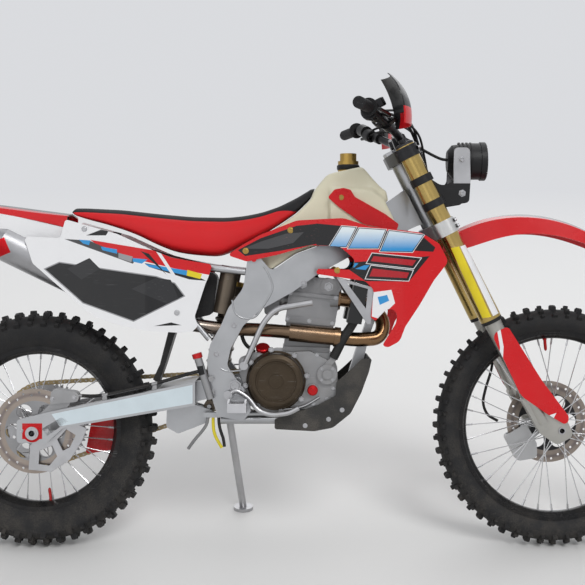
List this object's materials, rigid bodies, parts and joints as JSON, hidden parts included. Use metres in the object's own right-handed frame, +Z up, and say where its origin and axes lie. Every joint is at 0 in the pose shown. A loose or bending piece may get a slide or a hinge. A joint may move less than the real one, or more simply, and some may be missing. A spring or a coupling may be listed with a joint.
{
  "type": "off-road motorcycle",
  "caption": "Dirt bike leaning on its side stand: knobbly wheels that roll, fork that steers, open engine, tank, seat and panels on a twin-spar frame.",
  "frame": {"origin": "on the floor under the middle of the bike's box, as it leans on its stand", "axes": "+X towards the front wheel, +Y to the rider's left, +Z up"},
  "size_m": [2.1728, 0.8157, 1.3534],
  "materials": {
    "tyre": "matt black rubber",
    "wheel": "black rims, bright spokes and hubs",
    "disc": "ground steel",
    "chain": "gold-plated links",
    "frame_alloy": "satin silver",
    "axle_steel": "bright steel",
    "engine_alloy": "cast alloy",
    "cover_bronze": "dark bronze",
    "pipe": "heat-tinted titanium",
    "silencer": "grey alloy",
    "radiator": "black fins and guards",
    "tank": "cream natural plastic",
    "cap": "gold and black cap",
    "seat": "red sides and black top, grained vinyl",
    "red_plastic": "bright red moulded plastic",
    "white_plastic": "white moulded plastic",
    "black_plastic": "black moulded plastic",
    "shock": "bronze reservoir and dark spring",
    "caliper": "cast alloy",
    "fork_gold": "gold anodised tube",
    "fork_cast": "cast alloy and hard chrome",
    "clamp": "dark anodised",
    "hose": "grey, yellow and black hoses",
    "grip": "ribbed black rubber",
    "lever": "black anodised"
  },
  "bodies": {
    "chassis": {"chain": "chain", "rear_axle": "axle_steel", "swingarm": "frame_alloy", "frame_right": "frame_alloy", "steering_head": "frame_alloy", "down_tube": "frame_alloy", "overflow_grey": "hose", "overflow_yellow": "hose", "overflow_black": "hose", "subframe": "frame_alloy", "engine_case": "engine_alloy", "clutch_cover": "cover_bronze", "ignition_cover": "cover_bronze", "cylinder": "engine_alloy", "kick_lever": "axle_steel", "exhaust_header": "pipe", "silencer": "silencer", "radiators": "radiator", "fuel_tank": "tank", "filler_cap": "cap", "seat": "seat", "rear_fender": "red_plastic", "tail_lamp": "red_plastic", "airbox": "black_plastic", "shroud_right": "red_plastic", "shroud_left": "red_plastic", "side_panel_right": "white_plastic", "side_panel_left": "white_plastic", "skid_plate": "black_plastic", "mud_flap": "black_plastic", "footpegs": "axle_steel", "brake_pedal": "axle_steel", "shift_lever": "axle_steel", "shock": "shock", "linkage": "frame_alloy", "rear_caliper": "caliper", "chain_guide": "black_plastic", "frame_left": "frame_alloy"},
    "front_end": {"fork_tubes": "fork_gold", "fork_legs": "fork_cast", "triple_clamps": "clamp", "handlebar": "clamp", "grips": "grip", "levers": "lever", "hand_guards": "black_plastic", "headlight": "black_plastic", "lamp_bracket": "black_plastic", "front_fender": "red_plastic", "fork_guards": "red_plastic", "front_caliper": "caliper", "front_axle": "axle_steel"},
    "front_wheel_set": {"front_tyre": "tyre", "front_wheel": "wheel", "front_disc": "disc"},
    "rear_wheel_set": {"rear_tyre": "tyre", "rear_wheel": "wheel", "rear_disc": "disc", "rear_sprocket": "disc"},
    "stand": {"side_stand": "axle_steel"}
  },
  "joints": [
    {"name": "steering", "type": "hinge", "parent": "chassis", "child": "front_end", "pos_m": [0.38746, -0.05294, 0.91133], "axis": [-0.4462, 0.1554, 0.8813], "range_deg": [-42, 42]},
    {"name": "front_wheel_spin", "type": "hinge", "parent": "front_end", "child": "front_wheel_set", "pos_m": [0.74011, -0.15318, 0.3428], "axis": [0, 0.9848, -0.1736], "continuous": true},
    {"name": "rear_wheel_spin", "type": "hinge", "parent": "chassis", "child": "rear_wheel_set", "pos_m": [-0.74289, -0.15457, 0.33492], "axis": [0, 0.9848, -0.1736], "continuous": true},
    {"name": "stand_fold", "type": "hinge", "parent": "chassis", "child": "stand", "pos_m": [-0.20639, -0.02673, 0.34589], "axis": [-0.1443, 0.9889, -0.0366], "range_deg": [0, 105.3]}
  ]
}
